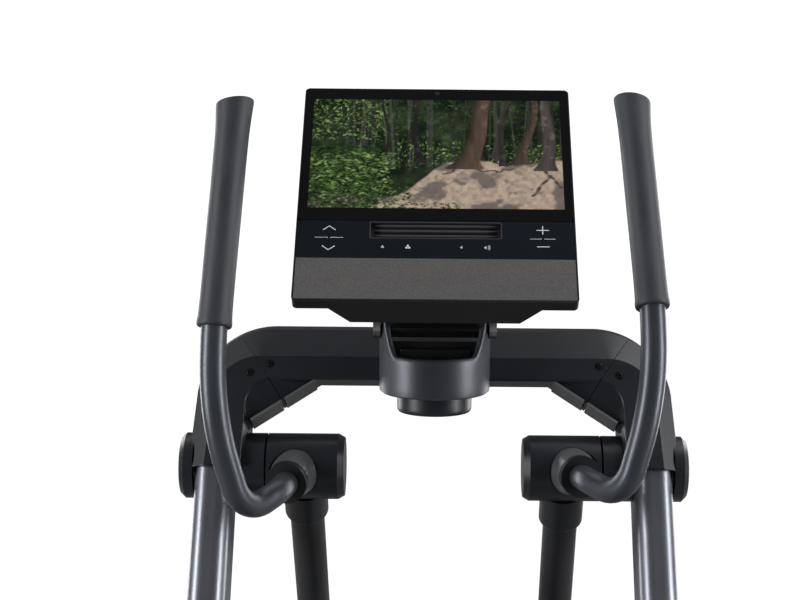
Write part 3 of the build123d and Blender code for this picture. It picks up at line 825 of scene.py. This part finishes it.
def soft(edge0, edge1, x):
    """Smooth step from 0 at edge0 to 1 at edge1."""
    t = np.clip((x - edge0) / (edge1 - edge0), 0, 1)
    return t * t * (3 - 2 * t)


U_AT, V_AT = np.meshgrid(np.linspace(0, 1, PICTURE_W), np.linspace(0, 1, PICTURE_H))


def paint(picture, mask, colour):
    """Lay a colour, or an array of colours, over the picture through a mask."""
    m = mask[..., None]
    return picture * (1 - m) + np.asarray(colour) * m


def trunk(picture, base, top, base_w, top_w, colour, light):
    """Tree trunk from base to top with bark streaks, lit from one side."""
    share = np.clip((V_AT - base[1]) / (top[1] - base[1]), 0, 1)
    bend = 0.012 * np.sin(share * 5 + base[0] * 20)
    middle = base[0] + (top[0] - base[0]) * share + bend
    flare = 1 + 1.0 * np.exp(-share * 12)
    half = (base_w + (top_w - base_w) * share) / 2 * flare
    away = (U_AT - middle) / half
    mask = soft(1.05, 0.85, np.abs(away)) * (V_AT > base[1] - 0.02) * (V_AT < top[1] + 0.02)
    bark = clouds(70, 9, 3)
    shade = (0.45 + 0.75 * bark) * (1 + light * away) * (0.75 + 0.25 * np.cos(away * 1.4))
    return paint(picture, np.clip(mask, 0, 1), np.asarray(colour) * shade[..., None])


def leaves(picture, count, area, size, colours, tilt=0.6):
    """Scatter of small leaf strokes inside an area."""
    u0, v0, u1, v1 = area
    for _ in range(count):
        u = rng.uniform(u0, u1)
        v = rng.uniform(v0, v1)
        long = size * rng.uniform(0.5, 1.4)
        thin = long * rng.uniform(0.22, 0.5)
        angle = rng.normal(0, tilt)
        colour = np.asarray(colours[rng.integers(len(colours))]) * rng.uniform(0.5, 1.35)
        reach = int(long * PICTURE_W) + 2
        cx = int(u * PICTURE_W)
        cy = int(v * PICTURE_H)
        x0, x1 = max(cx - reach, 0), min(cx + reach, PICTURE_W)
        y0, y1 = max(cy - reach, 0), min(cy + reach, PICTURE_H)
        if x0 >= x1 or y0 >= y1:
            continue
        dx = U_AT[y0:y1, x0:x1] - u
        dy = (V_AT[y0:y1, x0:x1] - v) * PICTURE_H / PICTURE_W
        a = (dx * cos(angle) + dy * sin(angle)) / long
        b = (-dx * sin(angle) + dy * cos(angle)) / thin
        mask = soft(1.1, 0.5, np.sqrt(a * a + b * b)) * 0.85
        patch = picture[y0:y1, x0:x1]
        picture[y0:y1, x0:x1] = patch * (1 - mask[..., None]) + colour * mask[..., None]
    return picture


GREENS = [
    (0.012, 0.032, 0.008),
    (0.025, 0.055, 0.012),
    (0.045, 0.085, 0.02),
    (0.006, 0.016, 0.006),
]
BRIGHT = [(0.09, 0.155, 0.035), (0.14, 0.22, 0.06), (0.05, 0.10, 0.03), (0.22, 0.30, 0.12)]


def woodland():
    """Generic wooded path with nobody on it."""
    tone = clouds(9, 6, 5)
    picture = np.zeros((PICTURE_H, PICTURE_W, 3))
    dark = np.array((0.004, 0.008, 0.004))
    mid = np.array((0.028, 0.045, 0.02))
    picture[:] = dark + (mid - dark) * (soft(0.35, 0.8, tone))[..., None]
    for _ in range(46):
        u = rng.uniform(0.12, 1.0)
        wide = rng.uniform(0.003, 0.011)
        grey = rng.uniform(0.008, 0.07)
        mask = soft(wide, wide * 0.4, np.abs(U_AT - u - 0.03 * (V_AT - 0.5) * rng.normal()))
        mask *= soft(0.32, 0.42, V_AT) * 0.8
        picture = paint(picture, mask, (grey, grey * 1.02, grey * 0.9))
    picture = leaves(picture, 1900, (0.0, 0.35, 1.0, 1.02), 0.008, GREENS, 0.9)
    picture = leaves(picture, 420, (0.0, 0.62, 0.30, 1.02), 0.008, BRIGHT, 0.9)
    picture = leaves(picture, 160, (0.30, 0.40, 0.62, 0.60), 0.007, BRIGHT, 0.9)
    picture = leaves(picture, 200, (0.70, 0.38, 1.0, 0.58), 0.007, BRIGHT, 0.9)
    ragged = 0.05 * (clouds(14, 3, 3) - 0.5)
    edge = 0.10 + 0.32 * soft(0.28, 0.62, U_AT) + 0.02 * np.sin(U_AT * 14) + ragged
    ground = soft(edge + 0.012, edge - 0.012, V_AT)
    grain = clouds(60, 34, 4)
    tan = np.array((0.44, 0.34, 0.265))
    earth = tan * (0.55 + 0.85 * grain)[..., None]
    shade = soft(0.56, 0.42, clouds(10, 7, 4)) * 0.8
    earth = earth * (1 - shade)[..., None] + np.array((0.10, 0.085, 0.085)) * shade[..., None]
    picture = paint(picture, ground, earth)
    for base, top, wide, narrow, colour, light in (
        ((0.76, 0.40), (0.785, 1.0), 0.020, 0.014, (0.035, 0.03, 0.026), 0.2),
        ((0.725, 0.47), (0.79, 1.0), 0.024, 0.016, (0.05, 0.044, 0.04), -0.2),
        ((0.845, 0.42), (0.895, 1.0), 0.040, 0.028, (0.085, 0.058, 0.045), 0.35),
        ((0.935, 0.36), (0.955, 1.0), 0.052, 0.042, (0.09, 0.075, 0.07), -0.3),
        ((0.615, 0.37), (0.70, 1.0), 0.080, 0.062, (0.10, 0.066, 0.047), 0.45),
        ((0.425, 0.42), (0.42, 1.0), 0.026, 0.018, (0.02, 0.018, 0.015), 0.2),
        ((0.30, 0.45), (0.29, 1.0), 0.014, 0.010, (0.022, 0.02, 0.016), 0.2),
    ):
        picture = trunk(picture, base, top, wide, narrow, colour, light)
    for start, end, wide in (
        ((0.60, 0.37), (0.53, 0.30), 0.010),
        ((0.62, 0.36), (0.74, 0.33), 0.009),
        ((0.74, 0.33), (0.80, 0.36), 0.008),
        ((0.95, 0.30), (0.88, 0.12), 0.012),
        ((0.93, 0.34), (0.99, 0.20), 0.012),
    ):
        dx = end[0] - start[0]
        dy = end[1] - start[1]
        along = ((U_AT - start[0]) * dx + (V_AT - start[1]) * dy) / (dx * dx + dy * dy)
        along = np.clip(along, 0, 1)
        wave = 0.008 * np.sin(along * 9 + start[0] * 30)
        off = np.hypot(U_AT - start[0] - dx * along, V_AT - start[1] - dy * along - wave)
        picture = paint(picture, soft(wide, wide * 0.4, off), (0.08, 0.06, 0.05))
    picture = leaves(picture, 1500, (-0.02, -0.02, 0.27, 0.56), 0.013, GREENS, 0.5)
    picture = leaves(picture, 500, (-0.02, 0.10, 0.34, 0.50), 0.010, BRIGHT, 0.4)
    picture = leaves(picture, 260, (0.16, -0.02, 0.40, 0.22), 0.010, GREENS, 0.5)
    picture = leaves(picture, 90, (0.20, 0.0, 0.42, 0.20), 0.008, BRIGHT, 0.5)
    picture = leaves(picture, 60, (0.40, -0.02, 0.60, 0.05), 0.009, GREENS, 0.9)
    sun = soft(0.60, 0.80, clouds(26, 15, 3))
    picture = picture * (0.9 + 0.8 * sun * (1 - ground))[..., None]
    return np.clip(picture, 0, 1)


def display_picture():
    """Grid of coloured points that fills the screen's active area."""
    xs = np.linspace(-SCREEN_HALF_W, SCREEN_HALF_W, PICTURE_W)
    us = np.linspace(-SCREEN_HALF_H, SCREEN_HALF_H, PICTURE_H)
    gx, gu = np.meshgrid(xs, us)
    y = PANEL.y + gu * PANEL.up[0] + SCREEN_FACE * PANEL.out[0]
    z = PANEL.z + gu * PANEL.up[1] + SCREEN_FACE * PANEL.out[1]
    verts = np.stack([gx, y, z], axis=-1).reshape(-1, 3) * MM
    index = np.arange(PICTURE_W * PICTURE_H).reshape(PICTURE_H, PICTURE_W)
    faces = np.stack(
        [index[:-1, :-1], index[:-1, 1:], index[1:, 1:], index[1:, :-1]], axis=-1
    ).reshape(-1, 4)
    material = bpy.data.materials.new("display_picture")
    n = Nodes(material)
    paintwork = n.add("ShaderNodeVertexColor", layer_name="picture")
    n.join(paintwork.outputs["Color"], n.shader.inputs["Emission Color"])
    n.shade(Base_Color=(0, 0, 0, 1), Emission_Strength=1.0, Roughness=0.12)
    obj = new_piece(
        "display_picture", verts.tolist(), faces.tolist(), "screen_glass", "console", (), material
    )
    colours = np.ones((PICTURE_H * PICTURE_W, 4), dtype=np.float32)
    colours[:, :3] = woodland().reshape(-1, 3)
    layer = obj.data.color_attributes.new("picture", "FLOAT_COLOR", "POINT")
    layer.data.foreach_set("color", colours.ravel())


display_picture()

# ---------------------------------------------------------------- control strip
VENT = (-79.0, 79.0, -133.0, -107.8)     # left, right, lower and upper edges


def box_on(place, x0, x1, u0, u1, n0, n1):
    """Block lined up with a tilted place."""
    return prism(place, [(x0, u0), (x1, u0), (x1, u1), (x0, u1)], n0, n1)


STRIP_HALF = 165
STRIP_LOW = -161.8
STRIP_TOP = -106.4
STRIP_BACK = -4
VENT_FLOOR = -7.0
VENT_RIM = 1.2
FIN_LEVELS = (-113.0, -120.4, -127.8)
SLOT_LEVELS = (-116.7, -124.1)
LOUVRE = surface("vent_plastic", (0.045, 0.043, 0.052), 0.35)
# Near-black finish for thin strips in the vent's slots: painted shade where the openings are.
SLOT_SHADE = surface("vent_shadow", (0.003, 0.003, 0.004), 0.6)


def fin(u, half, thick, top, low):
    """Louvre bar with tapered ends."""
    outline = [(-half - 14, u), (-half, u + thick), (half, u + thick)]
    outline += [(half + 14, u), (half, u - thick), (-half, u - thick)]
    return prism(PANEL, outline, low, top)


def add_strip():
    """Glossy control face with an opening for the vent."""
    x0, x1, u0, u1 = VENT
    parts = [
        box_on(PANEL, -STRIP_HALF, x0, STRIP_LOW, STRIP_TOP, STRIP_BACK, 0),
        box_on(PANEL, x1, STRIP_HALF, STRIP_LOW, STRIP_TOP, STRIP_BACK, 0),
        box_on(PANEL, x0, x1, STRIP_LOW, u0, STRIP_BACK, 0),
        box_on(PANEL, x0, x1, u1, STRIP_TOP, STRIP_BACK, 0),
    ]
    verts, faces = merge(*parts)
    strip = new_piece("control_face", verts, faces, "gloss_black", "console", ("control_strip",))
    finish_mesh(strip)


def add_vent():
    """Framed recess with three louvre bars and two strips of painted slot shade between them."""
    x0, x1, u0, u1 = VENT
    frame_parts = [box_on(PANEL, x0, x1, u0, u1, VENT_FLOOR - 1, VENT_FLOOR)]
    for a, b in ((x0, x0 + VENT_RIM), (x1 - VENT_RIM, x1)):
        frame_parts.append(box_on(PANEL, a, b, u0, u1, VENT_FLOOR, 0.25))
    for a, b in ((u0, u0 + VENT_RIM), (u1 - VENT_RIM, u1)):
        frame_parts.append(box_on(PANEL, x0, x1, a, b, VENT_FLOOR, 0.25))
    fins = [fin(u, 60.0, 1.5, -1.2, VENT_FLOOR) for u in FIN_LEVELS]
    # Near-black strips just above the vent floor: painted shade in the slots between the bars.
    slots = [box_on(PANEL, -47, 47, u - 1.6, u + 1.6, -6.9, -6.2) for u in SLOT_LEVELS]
    for name, parts, material in (
        ("vent_frame", frame_parts, LOUVRE),
        ("vent_fins", fins, LOUVRE),
        ("vent_slot_shade", slots, SLOT_SHADE),
    ):
        new_piece(name, *merge(*parts), "gloss_black", "console", (), material)


add_strip()
add_vent()

# ---------------------------------------------------------------- marks and lens
MARK_BASE = -0.05            # the marks' depth in and height above the strip
MARK_FACE = 0.12


def stroke(points, width):
    """Flat mark along a line of points on the control strip."""
    marks = []
    for (x0, u0), (x1, u1) in zip(points, points[1:]):
        length = hypot(x1 - x0, u1 - u0)
        nx = -(u1 - u0) / length * width / 2
        nu = (x1 - x0) / length * width / 2
        outline = [(x0 + nx, u0 + nu), (x1 + nx, u1 + nu), (x1 - nx, u1 - nu), (x0 - nx, u0 - nu)]
        marks.append(prism(PANEL, outline, MARK_BASE, MARK_FACE))
    return merge(*marks)


def ring_mark(x, u, radius, start, end, width=0.7):
    """Part of a ring, between two angles in degrees."""
    steps = 8
    points = []
    for i in range(steps + 1):
        angle = radians(start + (end - start) * i / steps)
        points.append((x + radius * cos(angle), u + radius * sin(angle)))
    return stroke(points, width)


def petal(x, u, angle, size):
    """One blade of a fan mark."""
    points = []
    for i in range(10):
        turn = 2 * pi * i / 10
        a = size * (0.55 + 0.45 * cos(turn))
        b = size * 0.42 * sin(turn)
        points.append((x + a * cos(angle) - b * sin(angle), u + a * sin(angle) + b * cos(angle)))
    return prism(PANEL, points, MARK_BASE, MARK_FACE)


def speaker_mark(x, u, size):
    """Loudspeaker mark: a square back and a widening cone."""
    outline = [(x - size, u - size * 0.4), (x - size * 0.5, u - size * 0.4), (x, u - size)]
    outline += [(x, u + size), (x - size * 0.5, u + size * 0.4), (x - size, u + size * 0.4)]
    return prism(PANEL, outline, MARK_BASE, MARK_FACE)


MARK_LEFT = -127.0
MARK_RIGHT = 127.5
SMALL_MARKS = -145.5         # height of the fan and speaker marks
CHEVRON = 7.5                # half width of the arrows, plus and minus
LABEL = -132.0               # height of the plain bars that stand for words
LENS_U = 98.0
LENS_SIDES = 20
LENS_RINGS = ((2.6, -0.1), (2.6, 0.15), (2.1, 0.3), (1.6, 0.12), (0.8, 0.3), (0.2, 0.35))


def add_marks():
    """Arrows, plus and minus, fans, speakers and plain bars on the control face."""
    left, right = MARK_LEFT, MARK_RIGHT
    marks = [
        stroke([(left - CHEVRON, -121), (left, -115), (left + CHEVRON, -121)], 1.1),
        stroke([(left - CHEVRON, -144.5), (left, -150.5), (left + CHEVRON, -144.5)], 1.1),
        stroke([(right - CHEVRON, -119), (right + CHEVRON, -119)], 1.1),
        stroke([(right, -125), (right, -113)], 1.1),
        stroke([(right - CHEVRON, -143.5), (right + CHEVRON, -143.5)], 1.1),
        speaker_mark(31.5, SMALL_MARKS, 2.2),
        speaker_mark(60.0, SMALL_MARKS, 2.4),
        ring_mark(60.0, SMALL_MARKS, 2.6, -50, 50),
        ring_mark(60.0, SMALL_MARKS, 4.4, -50, 50),
    ]
    for x, size in ((-63.0, 2.1), (-33.0, 3.4)):
        marks += [petal(x, SMALL_MARKS, radians(90 + 120 * k), size) for k in range(3)]
    for centre, half in ((left, 17.0), (right, 15.0)):
        marks.append(stroke([(centre - half, LABEL), (centre - 1.5, LABEL)], 0.6))
        marks.append(stroke([(centre + 1.5, LABEL), (centre + half, LABEL)], 0.6))
    ink = surface("mark_ink", (0.75, 0.77, 0.80), 0.5, 0.0, 900.0, 0.01)
    new_piece("touch_marks", *merge(*marks), "gloss_black", "console", (), ink)


def add_lens():
    """Small camera lens above the picture."""
    angles = [2 * pi * i / LENS_SIDES for i in range(LENS_SIDES)]
    rings = []
    for radius, n in LENS_RINGS:
        rings.append([PANEL.at(radius * cos(a), LENS_U + radius * sin(a), n) for a in angles])
    lens = new_piece("camera_lens", *loft(rings), "gloss_black", "console")
    face_outwards(lens)
    finish_mesh(lens)


add_lens()
add_marks()


# ---------------------------------------------------------------- pedal pads
LEG_LENGTH = 965.0           # swing axis to the leg's lower pivot
LEG_LEAN = 30.75             # degrees from upright at no swing
CROSSING_Y = -110.0          # where each pedal arm crosses over the crank
CROSSING_Z = 395.0
PAD_X = 173                  # pad's middle: across, back along the arm and above it
PAD_BACK = 890.0
PAD_RISE = 33.2
PAD_HALF_X = 62.0
PAD_HALF_Y = 178.0
PAD_CORNER = 33.0
PAD_ROWS = 72
PAD_COLUMNS = 26
RIB_PITCH = 34.0
RIB_HEIGHT = 1.4


def foot_pivot(swing):
    """Place of a leg's lower pivot for a swing in degrees."""
    angle = radians(LEG_LEAN + swing)
    return HUB_Y + LEG_LENGTH * sin(angle), HUB_Z - LEG_LENGTH * cos(angle)


def pad_outline(a, b):
    """Square coordinates pressed into a rounded rectangle."""
    x = a * PAD_HALF_X
    y = b * PAD_HALF_Y
    over_x = max(0.0, abs(x) - (PAD_HALF_X - PAD_CORNER))
    over_y = max(0.0, abs(y) - (PAD_HALF_Y - PAD_CORNER))
    if over_x > 0 and over_y > 0:
        scale = max(over_x, over_y) / hypot(over_x, over_y)
        x += (over_x * scale - over_x) * (1 if x > 0 else -1)
        y += (over_y * scale - over_y) * (1 if y > 0 else -1)
    return x, y


def pad_height(a, b):
    """Height of the crowned, ribbed top at square coordinates."""
    rim = (1 - abs(a) ** 10) * (1 - abs(b) ** 26)
    crown = 7.6 + 1.6 * (1 - a * a) * (1 - b * b)
    rib = 0.0
    if abs(b) < 0.84 and abs(a) < 0.8:
        rib = RIB_HEIGHT * max(0.0, sin(b * PAD_HALF_Y / RIB_PITCH * 2 * pi)) ** 0.5
    return 0.6 + crown * rim**0.5 + rib * rim


def pad_faces():
    """Top, bottom and side faces over two equal grids of points."""
    width = PAD_COLUMNS + 1
    total = (PAD_ROWS + 1) * width
    faces = []
    for i in range(PAD_ROWS):
        for j in range(PAD_COLUMNS):
            a = i * width + j
            faces.append((a, a + 1, a + width + 1, a + width))
            faces.append((total + a, total + a + width, total + a + width + 1, total + a + 1))
    edge = list(range(width))
    edge += [i * width + PAD_COLUMNS for i in range(1, PAD_ROWS + 1)]
    edge += [PAD_ROWS * width + j for j in range(PAD_COLUMNS - 1, -1, -1)]
    edge += [i * width for i in range(PAD_ROWS - 1, 0, -1)]
    for a, b in zip(edge, edge[1:] + edge[:1]):
        faces.append((a, total + a, total + b, b))
    return faces


def cushion(name, side):
    """Crowned foot pad with raised ribs, lying in the pedal's tray."""
    swing = REST_SWING * -side
    pivot_y, pivot_z = foot_pivot(swing)
    slope = atan2(pivot_z - CROSSING_Z, pivot_y - CROSSING_Y)
    rear = Vector((0, -cos(slope), -sin(slope)))
    up = Vector((0, -sin(slope), cos(slope)))
    origin = Vector((side * PAD_X, pivot_y, pivot_z)) + rear * PAD_BACK + up * PAD_RISE
    top = []
    bottom = []
    for i in range(PAD_ROWS + 1):
        for j in range(PAD_COLUMNS + 1):
            a = -1 + 2 * j / PAD_COLUMNS
            b = -1 + 2 * i / PAD_ROWS
            x, y = pad_outline(a, b)
            point = origin + rear * y + Vector((x, 0, 0))
            top.append((point + up * pad_height(a, b)) * MM)
            bottom.append(point * MM)
    pad = new_piece(
        "foot_pad_" + name,
        top + bottom,
        pad_faces(),
        "pad_foam",
        "pedal_arm_" + name,
        ("pedal_pad_" + name,),
    )
    face_outwards(pad)
    finish_mesh(pad, 0.0, 60.0)


for name, side in SIDES:
    cushion(name, side)


# ---------------------------------------------------------------- room and light
FLOOR_SIZE = 12.0            # metres from the middle to each side
# Name, place, target, width, height and power.
LIGHTS = (
    ("left_softbox", (-2.7, -1.2, 1.8), (0, 0.1, 1.3), 0.6, 2.6, 80),
    ("right_softbox", (2.8, -0.9, 1.8), (0, 0.1, 1.3), 0.6, 2.6, 76),
    ("overhead", (0.0, 1.1, 3.6), (0, 0.1, 1.0), 2.6, 1.2, 12),
    ("top_right", (1.15, 0.0, 3.0), (0.2, 0.1, 1.5), 0.7, 1.2, 10),
    ("top_left", (-1.25, 0.0, 3.0), (-0.2, 0.1, 1.5), 0.5, 1.2, 2.5),
    ("back_left", (-2.2, 2.4, 1.6), (0, 0.0, 1.3), 1.4, 2.4, 45),
    ("back_right", (2.2, 2.4, 1.6), (0, 0.0, 1.3), 1.4, 2.4, 45),
)
ROOM_STRENGTH = 0.09         # what the object sees round it
BACKDROP_STRENGTH = 1.1      # what the camera sees behind it


def add_stage():
    """Pale floor that looks white to the camera and stays dim in reflections."""
    size = FLOOR_SIZE
    mesh = bpy.data.meshes.new("floor")
    mesh.from_pydata(
        [(-size, -size, 0), (size, -size, 0), (size, size, 0), (-size, size, 0)], [], [(0, 1, 2, 3)]
    )
    floor = bpy.data.objects.new("floor", mesh)
    bpy.context.scene.collection.objects.link(floor)
    material = bpy.data.materials.new("pale_floor")
    n = Nodes(material)
    n.shade(Base_Color=(0.25, 0.25, 0.25, 1), Roughness=0.8)
    seen_directly = n.add("ShaderNodeLightPath")
    n.join(seen_directly.outputs["Is Camera Ray"], n.shader.inputs["Emission Strength"])
    n.shade(Emission_Color=(1, 1, 1, 1))
    mesh.materials.append(material)


def add_light(name, place, target, width, height, power):
    """Soft rectangular light turned towards a target."""
    data = bpy.data.lights.new(name, "AREA")
    data.shape = "RECTANGLE"
    data.size = width
    data.size_y = height
    data.energy = power
    light = bpy.data.objects.new(name, data)
    bpy.context.scene.collection.objects.link(light)
    light.location = place
    light.rotation_mode = "QUATERNION"
    light.rotation_quaternion = (Vector(target) - Vector(place)).to_track_quat("-Z", "Y")


def add_room():
    """Plain surroundings: white behind the object, dim in its reflections."""
    world = bpy.data.worlds.new("studio")
    bpy.context.scene.world = world
    world.use_nodes = True
    tree = world.node_tree
    room = tree.nodes["Background"]
    room.inputs["Color"].default_value = (1, 1, 1, 1)
    room.inputs["Strength"].default_value = ROOM_STRENGTH
    white = tree.nodes.new("ShaderNodeBackground")
    white.inputs["Color"].default_value = (1, 1, 1, 1)
    white.inputs["Strength"].default_value = BACKDROP_STRENGTH
    choice = tree.nodes.new("ShaderNodeMixShader")
    seen = tree.nodes.new("ShaderNodeLightPath")
    tree.links.new(seen.outputs["Is Camera Ray"], choice.inputs["Fac"])
    tree.links.new(room.outputs[0], choice.inputs[1])
    tree.links.new(white.outputs[0], choice.inputs[2])
    tree.links.new(choice.outputs[0], tree.nodes["World Output"].inputs["Surface"])


add_stage()
for light in LIGHTS:
    add_light(*light)
add_room()
bpy.context.scene.view_settings.view_transform = "Standard"
